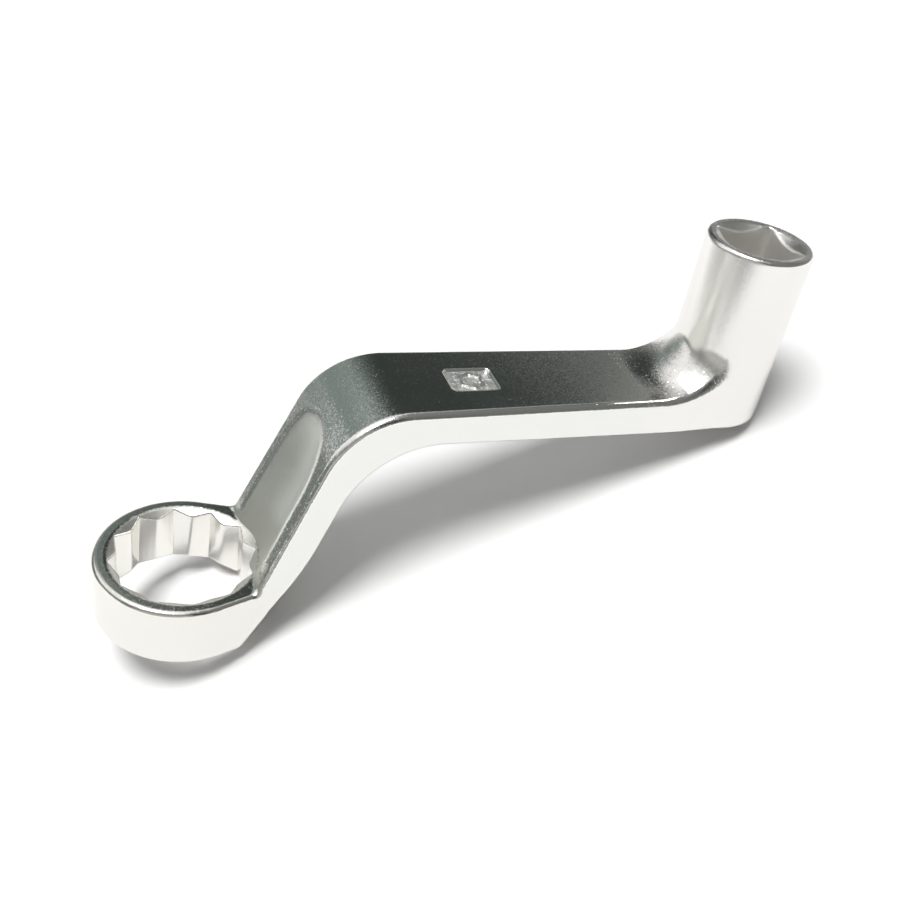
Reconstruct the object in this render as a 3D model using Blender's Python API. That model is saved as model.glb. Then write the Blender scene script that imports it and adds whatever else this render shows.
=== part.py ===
import math

import bmesh
import bpy
from mathutils import Matrix, Vector

MM = 0.001

# Ring end, millimetres and degrees; wall and lead-in are measured from the bore's points
RING_FLATS = 24.0
RING_WALL = 2.85
RING_HEIGHT = 12.6
RING_LEAD = 0.45
RING_LEAD_ANGLE = 60.0
RING_EDGE = 1.0

# Shank; the ramp's upper face and its underside start this far inside the ring's outer wall
REACH = 106.0
RISE = 50.0
BAR_THICK = 7.0
BAR_END = 7.5
RAMP_ANGLE = 68.5
RAMP_INSET = 5.1
RAMP_WIDTH = 27.5
BEND_WIDTH = 23.0
BEND_TOP = 16.5
BEND_UNDER = 20.0
FOOT_INSET = 7.6
FOOT_KNEE = 3.8
FOOT_ROUND = 50.0
EDGE_TOP = 1.25
EDGE_UNDER = 1.0

# Hollow on the ramp and the stamped pad on the bar
SCOOP_RADIUS = 18.8
SCOOP_DEPTH = 2.3
SCOOP_STRAIGHT = 16.0
SCOOP_RUNOUT = 16.0
PAD_PLACE = 52.1
PAD_LENGTH = 9.4
PAD_WIDTH = 7.4
PAD_CORNER = 1.0
PAD_DEPTH = 0.45

# Drive end; wall and lead-in are measured from the square's rounded corners
DRIVE_SQUARE = 12.8
DRIVE_CORNER = 1.2
DRIVE_WALL = 1.8
DRIVE_HEIGHT = 37.5
DRIVE_DEPTH = 17.0
DRIVE_LEAD = 0.05
DRIVE_LEAD_ANGLE = 60.0
DRIVE_EDGE = 0.8
DRIVE_FOOT_DROP = 0.5
DRIVE_FOOT_EDGE = 1.6
FLARE = 9.5
FLARE_START = 1.2

# Gap left between neighbours, how far the flare sinks into the boss, and how far the foot's
# underside lies above the boss's end face
GAP = 0.3
SINK = 0.15
FOOT_LIFT = 0.02

TURN_STEPS = 96
BEND_STEPS = 22
FLARE_STEPS = 10
PAST = 5.0

# Places that follow from the sizes above
ring_point = RING_FLATS / math.sqrt(3)
ring_notch = RING_FLATS / 2 / math.cos(math.radians(15))
ring_mouth = ring_point + RING_LEAD
ring_radius = ring_point + RING_WALL
drive_point = DRIVE_SQUARE / math.sqrt(2) - DRIVE_CORNER * (math.sqrt(2) - 1)
drive_mouth = drive_point + DRIVE_LEAD
drive_radius = drive_point + DRIVE_WALL
bar_under = RISE - BAR_THICK
seam_under = RISE - BAR_END
drive_under = seam_under - DRIVE_FOOT_DROP
drive_top = drive_under + DRIVE_HEIGHT
flare_run = FLARE + FLARE_START
seam = REACH - drive_radius - flare_run
slope = math.radians(RAMP_ANGLE)
ramp_dir = Vector((math.cos(slope), math.sin(slope)))
ramp_normal = Vector((-math.sin(slope), math.cos(slope)))
ramp_foot = Vector((ring_radius - RAMP_INSET, RING_HEIGHT))
under_foot = ramp_foot - ramp_normal * BAR_THICK


def along(point, direction, height):
    return point + direction * ((height - point.y) / direction.y)


top_corner = along(ramp_foot, ramp_dir, RISE)
under_corner = along(under_foot, ramp_dir, bar_under)
top_run = BEND_TOP * math.tan(slope / 2)
under_run = BEND_UNDER * math.tan(slope / 2)
top_centre = Vector((top_corner.x + top_run, RISE - BEND_TOP))
under_centre = Vector((under_corner.x + under_run, bar_under - BEND_UNDER))


def clear_scene():
    for obj in list(bpy.data.objects):
        bpy.data.objects.remove(obj, do_unlink=True)


def add_object(name, verts, faces):
    mesh = bpy.data.meshes.new(name)
    mesh.from_pydata([Vector(v) * MM for v in verts], [], faces)
    bm = bmesh.new()
    bm.from_mesh(mesh)
    bmesh.ops.recalc_face_normals(bm, faces=bm.faces)
    bm.to_mesh(mesh)
    bm.free()
    obj = bpy.data.objects.new(name, mesh)
    bpy.context.scene.collection.objects.link(obj)
    return obj


def arc(centre, radius, start, end, steps):
    points = []
    for k in range(steps + 1):
        turn = math.radians(start + (end - start) * k / steps)
        points.append((centre[0] + radius * math.cos(turn), centre[1] + radius * math.sin(turn)))
    return points


# A turned solid: the outline runs from the axis at the bottom to the axis at the top
def turned(name, outline, steps):
    verts = [(0, 0, outline[0][1]), (0, 0, outline[-1][1])]
    rings = []
    for radius, height in outline[1:-1]:
        row = []
        for k in range(steps):
            turn = 2 * math.pi * (k + 0.5) / steps
            row.append(len(verts))
            verts.append((radius * math.cos(turn), radius * math.sin(turn), height))
        rings.append(row)
    faces = []
    for k in range(steps):
        nxt = (k + 1) % steps
        faces.append((0, rings[0][nxt], rings[0][k]))
        faces.append((1, rings[-1][k], rings[-1][nxt]))
        for low, high in zip(rings, rings[1:]):
            faces.append((low[k], low[nxt], high[nxt], high[k]))
    return add_object(name, verts, faces)


def prism(name, outline, low, high):
    count = len(outline)
    verts = [(x, y, low) for x, y in outline] + [(x, y, high) for x, y in outline]
    faces = [tuple(range(count)), tuple(range(count, 2 * count))]
    for k in range(count):
        nxt = (k + 1) % count
        faces.append((k, nxt, nxt + count, k + count))
    return add_object(name, verts, faces)


# A solid through closed rows of points, one row per station
def lofted(name, rows):
    count = len(rows[0])
    verts = [point for row in rows for point in row]
    faces = [tuple(range(count)), tuple(range(len(verts) - count, len(verts)))]
    for r in range(len(rows) - 1):
        for k in range(count):
            nxt = (k + 1) % count
            base = r * count
            faces.append((base + k, base + nxt, base + count + nxt, base + count + k))
    return add_object(name, verts, faces)


def combine(target, tool, operation):
    modifier = target.modifiers.new(operation.lower(), 'BOOLEAN')
    modifier.operation = operation
    modifier.solver = 'EXACT'
    modifier.object = tool
    bpy.context.view_layer.update()
    graph = bpy.context.evaluated_depsgraph_get()
    mesh = bpy.data.meshes.new_from_object(target.evaluated_get(graph))
    target.modifiers.clear()
    target.data = mesh
    bpy.data.objects.remove(tool, do_unlink=True)


def rounded_box(length, width, corner, steps):
    outline = []
    for turn, sx, sy in ((0, 1, 1), (90, -1, 1), (180, -1, -1), (270, 1, -1)):
        centre = (sx * (length / 2 - corner), sy * (width / 2 - corner))
        outline += arc(centre, corner, turn, turn + 90, steps)
    return outline


# A cone that opens towards the given face of a bore
def lead_in(name, radius, angle, face, outward):
    spread = math.tan(math.radians(angle))
    wide = radius + PAST * spread
    tip = face - outward * radius / spread
    outline = [(0, tip), (wide, face + outward * PAST), (0, face + outward * PAST)]
    if outward < 0:
        outline.reverse()
    return turned(name, outline, TURN_STEPS)


def twelve_points():
    outline = []
    for k in range(24):
        turn = math.radians(15 * k)
        radius = ring_point if k % 2 == 0 else ring_notch
        outline.append((radius * math.cos(turn), radius * math.sin(turn)))
    return outline


def make_ring():
    inner = ring_radius - RING_EDGE
    outline = [(0, 0)]
    outline += arc((inner, RING_EDGE), RING_EDGE, -90, 0, 5)
    outline += arc((inner, RING_HEIGHT - RING_EDGE), RING_EDGE, 0, 90, 5)
    outline += [(0, RING_HEIGHT)]
    ring = turned('box_ring', outline, TURN_STEPS)
    combine(ring, prism('bore', twelve_points(), -PAST, RING_HEIGHT + PAST), 'DIFFERENCE')
    for face, outward in ((RING_HEIGHT, 1), (0, -1)):
        cone = lead_in('lead', ring_mouth, RING_LEAD_ANGLE, face, outward)
        combine(ring, cone, 'DIFFERENCE')
    return ring


def half_width(x):
    drive_end = drive_radius - SINK
    bend_mid = (top_corner.x + under_corner.x) / 2
    if x < bend_mid:
        share = (x - ramp_foot.x) / (bend_mid - ramp_foot.x)
        return (RAMP_WIDTH + (BEND_WIDTH - RAMP_WIDTH) * share) / 2
    share = (x - bend_mid) / (REACH - bend_mid)
    return BEND_WIDTH / 2 + (drive_end - BEND_WIDTH / 2) * share


# Where a ray from the underside's bend centre leaves through the upper face
def upper_face(turn):
    ray = Vector((math.cos(turn), math.sin(turn)))
    bar_hit = under_centre + ray * ((RISE - under_centre.y) / ray.y)
    if bar_hit.x >= top_centre.x:
        return bar_hit
    reach = (ramp_foot - under_centre).dot(ramp_normal) / ray.dot(ramp_normal)
    ramp_hit = under_centre + ray * reach
    if (ramp_hit - top_corner).dot(ramp_dir) <= -top_run:
        return ramp_hit
    offset = under_centre - top_centre
    half = ray.dot(offset)
    reach = -half + math.sqrt(half * half - offset.dot(offset) + BEND_TOP * BEND_TOP)
    return under_centre + ray * reach


def station(top, under, top_round, under_round):
    width = half_width((top.x + under.x) / 2)
    depth = (top - under).length
    up = (top - under) / depth
    outline = []
    outline += arc((width - top_round, depth - top_round), top_round, 0, 90, 5)
    outline += arc((top_round - width, depth - top_round), top_round, 90, 180, 5)
    outline += arc((under_round - width, under_round), under_round, 180, 270, 4)
    outline += arc((width - under_round, under_round), under_round, 270, 360, 4)
    return [(under.x + up.x * t, y, under.y + up.y * t) for y, t in outline]


def underside_foot():
    knee = along(under_foot, ramp_dir, RING_HEIGHT + FOOT_KNEE)
    start = Vector((ring_radius - FOOT_INSET, 0))
    low_dir = (knee - start).normalized()
    low_angle = math.atan2(low_dir.y, low_dir.x)
    run = FOOT_ROUND * math.tan((slope - low_angle) / 2)
    begin = knee - low_dir * run
    centre = begin + Vector((-low_dir.y, low_dir.x)) * FOOT_ROUND
    turns = (math.degrees(low_angle) - 90, RAMP_ANGLE - 90)
    return [start] + [Vector(p) for p in arc(centre, FOOT_ROUND, turns[0], turns[1], 5)]


def make_shank():
    rows = []
    for under in underside_foot():
        top = under + ramp_normal * (ramp_foot - under).dot(ramp_normal)
        rows.append(station(top, under, EDGE_TOP, EDGE_UNDER))
    for k in range(BEND_STEPS + 1):
        turn = slope + math.pi / 2 - slope * k / BEND_STEPS
        ray = Vector((math.cos(turn), math.sin(turn)))
        rows.append(station(upper_face(turn), under_centre + ray * BEND_UNDER, EDGE_TOP, EDGE_UNDER))
    end = seam - GAP / 2
    rows.append(station(Vector((end, RISE)), Vector((end, seam_under)), EDGE_TOP, EDGE_UNDER))
    shank = lofted('cranked_shank', rows)

    saddle = [(0, -PAST), (ring_radius + GAP, -PAST), (ring_radius + GAP, RING_HEIGHT + GAP)]
    saddle += [(0, RING_HEIGHT + GAP)]
    combine(shank, turned('saddle', saddle, TURN_STEPS), 'DIFFERENCE')
    passage = [(0, 0), (ring_mouth, 0), (ring_mouth, RISE / 2), (0, RISE / 2)]
    combine(shank, turned('passage', passage, TURN_STEPS), 'DIFFERENCE')
    combine(shank, make_scoop(), 'DIFFERENCE')
    pad = rounded_box(PAD_LENGTH, PAD_WIDTH, PAD_CORNER, 4)
    pad = [(x + PAD_PLACE, y) for x, y in pad]
    combine(shank, prism('pad', pad, RISE - PAD_DEPTH, RISE + PAST), 'DIFFERENCE')
    return shank


# The hollow is cut by a long round body that lies along the ramp and thins out at its upper end
def make_scoop():
    lift = SCOOP_RADIUS - SCOOP_DEPTH
    half = math.sqrt(SCOOP_RADIUS ** 2 - lift ** 2)
    nose = SCOOP_RUNOUT * SCOOP_RADIUS / half
    outline = [(0, -2 * RING_HEIGHT), (SCOOP_RADIUS, -2 * RING_HEIGHT)]
    for k in range(13):
        turn = math.pi / 2 * k / 12
        outline.append((SCOOP_RADIUS * math.cos(turn), SCOOP_STRAIGHT + nose * math.sin(turn)))
    outline[-1] = (0, outline[-1][1])
    body = turned('scoop', outline, TURN_STEPS)
    place = ramp_foot + ramp_normal * lift
    tilt = Matrix.Rotation(math.pi / 2 - slope, 4, 'Y')
    body.matrix_world = Matrix.Translation(Vector((place.x, 0, place.y)) * MM) @ tilt
    return body


def edge_drop(inset, radius):
    if inset >= radius:
        return 0.0
    return radius - math.sqrt(max(0.0, radius ** 2 - (radius - inset) ** 2))


# Side stations of the foot, as shares of the half width, close together where the edges are round
def foot_lanes():
    width = half_width(REACH)
    lanes = []
    for k in range(6):
        lanes.append(1 - EDGE_TOP * (1 - math.cos(math.pi / 2 * k / 5)) / width)
    lanes = sorted(lanes)
    inner = [lanes[0] * k / 5 for k in range(5)]
    half = inner + lanes
    return [-v for v in reversed(half[1:])] + half


def make_foot():
    lanes = foot_lanes()
    rings = [(drive_radius / 3, RISE + FLARE)]
    for k in range(FLARE_STEPS + 1):
        turn = math.pi / 2 * k / FLARE_STEPS
        radius = drive_radius - SINK + FLARE * (1 - math.cos(turn))
        rings.append((radius, RISE + FLARE * (1 - math.sin(turn))))
    rings.append((None, RISE))
    rows = []
    for radius, height in rings:
        upper = []
        lower = []
        for lane in lanes:
            x = seam + GAP / 2
            for turn in range(4):
                width = half_width(x)
                y = lane * width
                if radius is not None:
                    x = REACH - math.sqrt(max(radius ** 2 - y ** 2, 0.0))
            inset = width - abs(y)
            share = min(1.0, (x - seam) / flare_run)
            under_round = EDGE_UNDER + (DRIVE_FOOT_EDGE - EDGE_UNDER) * share
            under = seam_under - DRIVE_FOOT_DROP * share + FOOT_LIFT
            upper.append((x, y, height - edge_drop(inset, EDGE_TOP)))
            lower.append((x, y, under + edge_drop(inset, under_round)))
        rows.append(upper + lower[::-1])
    return lofted('foot', rows)


def make_boss():
    outline = [(0, drive_under)]
    low = (drive_radius - DRIVE_FOOT_EDGE, drive_under + DRIVE_FOOT_EDGE)
    high = (drive_radius - DRIVE_EDGE, drive_top - DRIVE_EDGE)
    outline += arc(low, DRIVE_FOOT_EDGE, -90, 0, 6)
    outline += arc(high, DRIVE_EDGE, 0, 90, 4)
    outline += [(0, drive_top)]
    boss = turned('drive_boss', outline, TURN_STEPS)
    square = prism('square', rounded_box(DRIVE_SQUARE, DRIVE_SQUARE, DRIVE_CORNER, 4),
                   drive_top - DRIVE_DEPTH, drive_top + PAST)
    cone = lead_in('lead', drive_mouth, DRIVE_LEAD_ANGLE, drive_top, 1)
    shift = Matrix.Translation(Vector((REACH, 0, 0)) * MM)
    for obj in (boss, square, cone):
        obj.data.transform(shift)
    combine(boss, make_foot(), 'UNION')
    combine(boss, square, 'DIFFERENCE')
    combine(boss, cone, 'DIFFERENCE')
    return boss


def chrome(name, colour, roughness):
    material = bpy.data.materials.new(name)
    material.use_nodes = True
    shader = material.node_tree.nodes['Principled BSDF']
    shader.inputs['Base Color'].default_value = (*colour, 1)
    shader.inputs['Metallic'].default_value = 1.0
    shader.inputs['Roughness'].default_value = roughness
    return material


def finish(obj, material):
    bm = bmesh.new()
    bm.from_mesh(obj.data)
    bmesh.ops.remove_doubles(bm, verts=bm.verts, dist=0.00001)
    bmesh.ops.dissolve_degenerate(bm, edges=bm.edges, dist=0.00001)
    bmesh.ops.triangulate(bm, faces=bm.faces)
    bmesh.ops.recalc_face_normals(bm, faces=bm.faces)
    bm.to_mesh(obj.data)
    bm.free()
    obj.data.materials.clear()
    obj.data.materials.append(material)
    obj.data.polygons.foreach_set('use_smooth', [True] * len(obj.data.polygons))
    obj.data.set_sharp_from_angle(angle=math.radians(28))


# The tool rests on the ring's lower edge and the boss's lower edge, so it lies tilted
def rest_pose():
    ring_edge = Vector((ring_radius - RING_EDGE, RING_EDGE))
    boss_edge = Vector((REACH + drive_radius - DRIVE_FOOT_EDGE, drive_under + DRIVE_FOOT_EDGE))
    span = boss_edge - ring_edge
    lean = math.asin((DRIVE_FOOT_EDGE - RING_EDGE) / span.length)
    return math.atan2(span.y, span.x) - lean


def build():
    clear_scene()
    parts = [make_ring(), make_shank(), make_boss()]
    finish(parts[0], chrome('ring chrome', (0.78, 0.79, 0.78), 0.14))
    finish(parts[1], chrome('shank chrome', (0.76, 0.78, 0.77), 0.18))
    finish(parts[2], chrome('boss chrome', (0.80, 0.80, 0.79), 0.16))
    pose = Matrix.Rotation(rest_pose(), 4, 'Y')
    points = [pose @ v.co for obj in parts for v in obj.data.vertices]
    middle = [(min(p[i] for p in points) + max(p[i] for p in points)) / 2 for i in range(2)]
    floor = min(p.z for p in points)
    rest = bpy.data.objects.new('rest', None)
    rest.matrix_world = Matrix.Translation((-middle[0], -middle[1], -floor)) @ pose
    bpy.context.scene.collection.objects.link(rest)
    for obj in parts:
        obj.parent = rest


build()
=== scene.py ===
import math

import bmesh
import bpy
import numpy as np
from mathutils import Matrix, Vector


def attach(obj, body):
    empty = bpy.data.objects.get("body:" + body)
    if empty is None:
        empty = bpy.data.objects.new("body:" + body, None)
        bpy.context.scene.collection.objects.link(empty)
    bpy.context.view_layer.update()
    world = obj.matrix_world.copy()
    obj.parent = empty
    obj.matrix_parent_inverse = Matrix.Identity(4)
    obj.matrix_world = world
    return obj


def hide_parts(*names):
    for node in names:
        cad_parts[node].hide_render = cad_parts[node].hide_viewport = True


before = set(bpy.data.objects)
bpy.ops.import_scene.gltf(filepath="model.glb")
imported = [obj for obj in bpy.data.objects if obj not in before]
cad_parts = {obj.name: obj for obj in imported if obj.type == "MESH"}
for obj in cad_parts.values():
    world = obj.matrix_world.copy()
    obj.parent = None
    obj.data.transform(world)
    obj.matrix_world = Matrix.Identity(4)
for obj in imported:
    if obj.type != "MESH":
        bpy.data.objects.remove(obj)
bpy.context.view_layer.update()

print("frame loaded:", sorted(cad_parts))

mm = 0.001

# how the tool lies on the floor: tipped about Y, then moved, degrees and millimetres
lie = {"tip": 22.953, "x": -61.4152, "z": 6.1974}
liePose = Matrix.Translation((lie["x"] * mm, 0, lie["z"] * mm)) @ Matrix.Rotation(
    math.radians(lie["tip"]), 4, "Y")

# the three pieces are one forging, so their shape is one field of distances in millimetres,
# with the ring's axis upright at the origin and the handle running along +X
grid = {
    "step": 0.3, "quickStep": 0.5, "block": 8, "low": (-18.6, -18.6, -1.8), "high": (118.2, 18.6, 81.3),
    "nearShare": 0.95, "far": 9.0, "searchTurns": 3, "evenShare": 0.03, "overhang": 0.1,
    "lastMove": 0.1, "leastSlope": 0.3, "slopeReach": 0.02, "normalReach": 0.03,
}


# inside both, with the outer edge rounded
def roundAnd(a, b, radius):
    u = np.maximum(a + radius, 0)
    v = np.maximum(b + radius, 0)
    return np.minimum(np.maximum(a, b), -radius) + np.sqrt(u * u + v * v)


# inside either, with the inner corner filleted
def filletOr(a, b, radius):
    u = np.maximum(radius - a, 0)
    v = np.maximum(radius - b, 0)
    return np.maximum(np.minimum(a, b), radius) - np.sqrt(u * u + v * v)


# inside either, melted together over a width
def softOr(a, b, width):
    share = np.maximum(width - np.abs(a - b), 0) / width
    return np.minimum(a, b) - share * share * width / 4


def ease(t):
    t = np.clip(t, 0, 1)
    return t * t * (3 - 2 * t)


def roundBox(x, y, length, width, corner):
    u = np.abs(x) - (length / 2 - corner)
    v = np.abs(y) - (width / 2 - corner)
    outside = np.hypot(np.maximum(u, 0), np.maximum(v, 0))
    return outside + np.minimum(np.maximum(u, v), 0) - corner


# box ring, millimetres
ringSizes = {
    "flats": 24.0, "wall": 2.85, "height": 12.6, "edge": 1.0,
    "mouth": 0.45, "mouthAngle": 60.0, "pointRound": 0.25, "mouthRound": 0.18, "rimRound": 0.25,
    "shoulderTurn": 71.6, "shoulderEnd": 13.5, "cutAbove": 0.6,
}
ringPoint = ringSizes["flats"] / math.sqrt(3)
ringRadius = ringPoint + ringSizes["wall"]
ringMouth = ringPoint + ringSizes["mouth"]


def hexagon(x, y, flats, turn):
    distance = None
    for k in range(3):
        angle = math.radians(turn + 60 * k)
        side = np.abs(x * math.cos(angle) + y * math.sin(angle)) - flats / 2
        distance = side if distance is None else np.maximum(distance, side)
    return distance


def ringBody(x, y, z):
    half = ringSizes["height"] / 2
    return roundAnd(np.hypot(x, y) - ringRadius, np.abs(z - half) - half, ringSizes["edge"])


# beside the ramp the ring's wall leaves its circle on a tangent and runs straight into the ramp's side
def shoulderBody(x, y, z):
    turn = math.radians(ringSizes["shoulderTurn"])
    wall = x * math.cos(turn) + np.abs(y) * math.sin(turn) - ringRadius
    wall = np.maximum(wall, np.maximum(x - ringSizes["shoulderEnd"], ringRadius * math.cos(turn) - x))
    return roundAnd(wall, z - ringSizes["height"], ringSizes["edge"])


def ringHole(x, y, z):
    s = ringSizes
    bore = filletOr(hexagon(x, y, s["flats"], 30), hexagon(x, y, s["flats"], 0), s["pointRound"])
    reach = np.hypot(x, y) - ringMouth
    lean = math.radians(s["mouthAngle"])
    upper = (reach - (z - s["height"]) * math.tan(lean)) * math.cos(lean)
    lower = (reach + z * math.tan(lean)) * math.cos(lean)
    mouths = np.maximum(np.minimum(upper, lower), reach)
    return filletOr(bore, mouths, s["mouthRound"])


# drive boss, millimetres
bossSizes = {
    "reach": 106.0, "square": 12.8, "corner": 1.2, "wall": 1.8, "top": 79.5, "under": 42.0,
    "depth": 17.0, "mouth": 0.05, "mouthAngle": 60.0, "edge": 0.8, "footEdge": 2.2,
    "flare": 9.5, "flareStart": 1.2, "mouthRound": 0.3, "floorRound": 0.5,
}
bossPoint = bossSizes["square"] / math.sqrt(2) - bossSizes["corner"] * (math.sqrt(2) - 1)
bossRadius = bossPoint + bossSizes["wall"]
bossMouth = bossPoint + bossSizes["mouth"]
seamPlace = bossSizes["reach"] - bossRadius - bossSizes["flare"] - bossSizes["flareStart"]


def bossBody(x, y, z):
    s = bossSizes
    wall = np.hypot(x - s["reach"], y) - bossRadius
    upper = roundAnd(wall, z - s["top"], s["edge"])
    lower = roundAnd(wall, s["under"] - z, s["footEdge"])
    return np.maximum(upper, lower)


def bossHole(x, y, z):
    s = bossSizes
    square = roundBox(x - s["reach"], y, s["square"], s["square"], s["corner"])
    hole = roundAnd(square, s["top"] - s["depth"] - z, s["floorRound"])
    reach = np.hypot(x - s["reach"], y) - bossMouth
    lean = math.radians(s["mouthAngle"])
    cone = (reach - (z - s["top"]) * math.tan(lean)) * math.cos(lean)
    return filletOr(hole, np.maximum(cone, reach), s["mouthRound"])


# cranked shank, millimetres and degrees
shankSizes = {
    "rise": 50.0, "thick": 7.0, "endThick": 7.5, "slope": 68.5, "inset": 5.1,
    "rampWidth": 27.5, "bendWidth": 23.0, "bendTop": 16.5, "bendUnder": 20.0,
    "footInset": 7.6, "footKnee": 3.8, "footRound": 50.0, "edgeTop": 1.4, "edgeUnder": 1.0,
    "toe": 1.0, "rootSide": 1.2, "rootTop": 0.35, "rootDrop": 2.4, "rootUnder": 0.9, "rootInside": 0.6,
    "rootRun": 0.8, "bendReach": 6.0, "dropRun": 12.0, "edgeRun": 18.0, "widthBlend": 1.2, "stopUnder": 8.0,
}
scoopSizes = {
    "radius": 18.8, "depth": 2.3, "straight": 19.5, "runOut": 15.0, "noseEnd": 0.999, "lean": 1.0,
    "edge": 0.7, "crown": 0.24, "railFrom": 0.93, "railFade": 0.06,
}
padSizes = {
    "place": 52.1, "length": 9.4, "width": 7.4, "corner": 1.0, "depth": 0.45, "edge": 0.2,
    "markFlats": 4.2, "markLine": 0.65, "markRise": 0.32, "markEdge": 0.1,
}
slope = math.radians(shankSizes["slope"])
rampWay = np.array((math.cos(slope), math.sin(slope)))
rampOut = np.array((-math.sin(slope), math.cos(slope)))
rampFoot = np.array((ringRadius - shankSizes["inset"], ringSizes["height"]))
underFoot = rampFoot - rampOut * shankSizes["thick"]
barUnder = shankSizes["rise"] - shankSizes["thick"]


def alongTo(point, way, height):
    return point + way * ((height - point[1]) / way[1])


topCorner = alongTo(rampFoot, rampWay, shankSizes["rise"])
underCorner = alongTo(underFoot, rampWay, barUnder)
halfTan = math.tan(slope / 2)
topCentre = np.array((
    topCorner[0] + shankSizes["bendTop"] * halfTan, shankSizes["rise"] - shankSizes["bendTop"]))
underCentre = np.array((
    underCorner[0] + shankSizes["bendUnder"] * halfTan, barUnder - shankSizes["bendUnder"]))
kneePoint = alongTo(underFoot, rampWay, ringSizes["height"] + shankSizes["footKnee"])
toePoint = np.array((ringRadius - shankSizes["footInset"], 0.0))
toeWay = (kneePoint - toePoint) / np.linalg.norm(kneePoint - toePoint)
toeOut = np.array((toeWay[1], -toeWay[0]))
kneeRun = shankSizes["footRound"] * math.tan((slope - math.atan2(toeWay[1], toeWay[0])) / 2)
kneeCentre = kneePoint - toeWay * kneeRun - toeOut * shankSizes["footRound"]
bendMiddle = (topCorner[0] + underCorner[0]) / 2


def dotAway(x, z, point, way):
    return (x - point[0]) * way[0] + (z - point[1]) * way[1]


def shankTop(x, y, z):
    s = shankSizes
    fromBoss = np.hypot(x - bossSizes["reach"], y) - bossRadius
    bar = filletOr(z - s["rise"], fromBoss, bossSizes["flare"])
    flat = np.maximum(dotAway(x, z, rampFoot, rampOut), bar)
    along = dotAway(x, z, topCentre, rampWay)
    inBend = (along > 0) & (x < topCentre[0]) & (z > topCentre[1] - s["bendReach"])
    return np.where(inBend, np.hypot(x - topCentre[0], z - topCentre[1]) - s["bendTop"], flat)


def shankUnder(x, z):
    s = shankSizes
    toe = np.maximum(dotAway(x, z, toePoint, toeOut), dotAway(x, z, underFoot, -rampOut))
    inKnee = (dotAway(x, z, kneeCentre, toeWay) > 0) & (dotAway(x, z, kneeCentre, rampWay) < 0)
    inKnee &= dotAway(x, z, kneeCentre, toeOut) > 0
    toe = np.where(inKnee, np.hypot(x - kneeCentre[0], z - kneeCentre[1]) - s["footRound"], toe)
    barShare = np.clip((x - underCentre[0]) / (seamPlace - underCentre[0]), 0, 1)
    thicker = (s["endThick"] - s["thick"]) * barShare
    drop = (s["rise"] - s["endThick"] - bossSizes["under"]) * ease((x - seamPlace) / s["dropRun"])
    flat = np.minimum(toe, barUnder - thicker - drop - z)
    inBend = (dotAway(x, z, underCentre, rampWay) > 0) & (x < underCentre[0]) & (z > underCentre[1])
    return np.where(inBend, s["bendUnder"] - np.hypot(x - underCentre[0], z - underCentre[1]), flat)


def halfWidth(x):
    s = shankSizes
    narrower = s["bendWidth"] - s["rampWidth"]
    ramp = (s["rampWidth"] + narrower * (x - rampFoot[0]) / (bendMiddle - rampFoot[0])) / 2
    bend = s["bendWidth"] / 2
    bar = bend + (bossRadius - bend) * (x - bendMiddle) / (bossSizes["reach"] - bendMiddle)
    return -softOr(-ramp, -bar, s["widthBlend"])


def scoopField(x, y, z):
    s = scoopSizes
    lift = s["radius"] - s["depth"]
    tip = slope + math.radians(s["lean"])
    way = np.array((math.cos(tip), math.sin(tip)))
    out = np.array((-math.sin(tip), math.cos(tip)))
    place = rampFoot + rampOut * lift
    along = dotAway(x, z, place, way)
    nose = s["runOut"] * s["radius"] / math.sqrt(s["radius"] ** 2 - lift ** 2)
    share = np.clip((along - s["straight"]) / nose, 0, s["noseEnd"])
    reach = s["radius"] * np.sqrt(1 - share * share)
    return np.hypot(dotAway(x, z, place, out), y) - reach


def shankBody(x, y, z):
    s = shankSizes
    side = np.abs(y) - halfWidth(x)
    top = roundAnd(shankTop(x, y, z), side, s["edgeTop"])
    atBoss = ease((x - seamPlace) / s["edgeRun"])
    wider = s["edgeUnder"] + (bossSizes["footEdge"] - s["edgeUnder"]) * atBoss
    under = roundAnd(shankUnder(x, z), side, wider)
    body = np.maximum(np.maximum(top, under), x - bossSizes["reach"])
    body = roundAnd(body, -z, s["toe"])
    body = np.maximum(body, z - bossSizes["top"] + s["stopUnder"])
    return roundAnd(body, -scoopField(x, y, z), scoopSizes["edge"])


def padField(x, y, z):
    s = padSizes
    floor = shankSizes["rise"] - s["depth"]
    recess = np.maximum(roundBox(x - s["place"], y, s["length"], s["width"], s["corner"]), floor - z)
    line = np.abs(hexagon(x - s["place"], y, s["markFlats"], 0)) - s["markLine"] / 2
    mark = roundAnd(line, z - floor - s["markRise"], s["markEdge"])
    return np.maximum(recess, -mark)


def toolField(x, y, z):
    s = shankSizes
    below = ease((ringSizes["height"] - s["rootUnder"] - z) / s["rootDrop"])
    outside = ease((np.hypot(x, y) - ringRadius + s["rootInside"]) / s["rootRun"])
    width = s["rootTop"] + (s["rootSide"] - s["rootTop"]) * np.maximum(below, outside)
    shoulder = roundAnd(shoulderBody(x, y, z), shankUnder(x, z), s["edgeUnder"])
    ring = np.minimum(ringBody(x, y, z), roundAnd(shoulder, -z, s["toe"]))
    body = softOr(ring, shankBody(x, y, z), width)
    body = np.minimum(body, bossBody(x, y, z))
    body = roundAnd(body, -ringHole(x, y, z), ringSizes["rimRound"])
    body = roundAnd(body, -bossHole(x, y, z), bossSizes["mouthRound"])
    return roundAnd(body, -padField(x, y, z), padSizes["edge"])


def fieldAt(points):
    return toolField(points[:, 0], points[:, 1], points[:, 2])


def fieldSlope(points, reach):
    slopes = np.empty_like(points)
    for axis in range(3):
        shift = np.zeros(3)
        shift[axis] = reach
        slopes[:, axis] = (fieldAt(points + shift) - fieldAt(points - shift)) / (2 * reach)
    return slopes


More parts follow.
